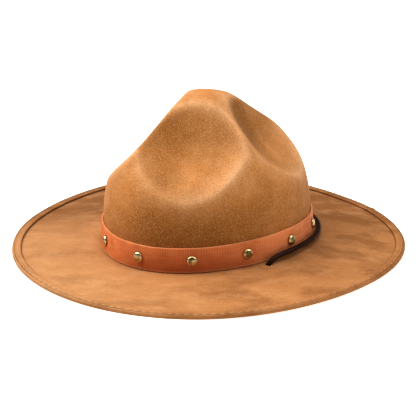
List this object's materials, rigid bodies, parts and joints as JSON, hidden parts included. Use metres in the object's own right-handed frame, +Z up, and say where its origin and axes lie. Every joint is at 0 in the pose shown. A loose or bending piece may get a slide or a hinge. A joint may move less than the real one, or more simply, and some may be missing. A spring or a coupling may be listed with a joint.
{
  "type": "ranger hat",
  "caption": "Felt ranger hat with a tall crown creased by dents into a peak, a wide flat hemmed brim, a studded leather band and a chin cord laid below.",
  "frame": {"origin": "centre of the overall size in plan, on the surface that the hat lies on", "axes": "+Z up, -Y towards the front of the hat, +X towards the wearer's left"},
  "size_m": [0.3448, 0.365, 0.1439],
  "materials": {
    "crown_felt": "brushed tan felt, short nap",
    "brim_felt": "brushed tan felt with a suede nap",
    "hem_felt": "folded and stitched tan felt",
    "band_leather": "reddish tan leather, fine grain",
    "stud_brass": "aged brass, domed",
    "cord_dark": "dark brown laid cord, waxed"
  },
  "bodies": {
    "root": {"crown": "crown_felt", "brim": "brim_felt", "brim_hem": "hem_felt", "hat_band": "band_leather", "stud_01": "stud_brass", "stud_02": "stud_brass", "stud_03": "stud_brass", "stud_04": "stud_brass", "stud_05": "stud_brass", "stud_06": "stud_brass", "stud_07": "stud_brass", "stud_08": "stud_brass", "stud_09": "stud_brass", "stud_10": "stud_brass", "stud_11": "stud_brass", "stud_12": "stud_brass", "chin_cord": "cord_dark", "cord_knot": "cord_dark"}
  },
  "joints": []
}
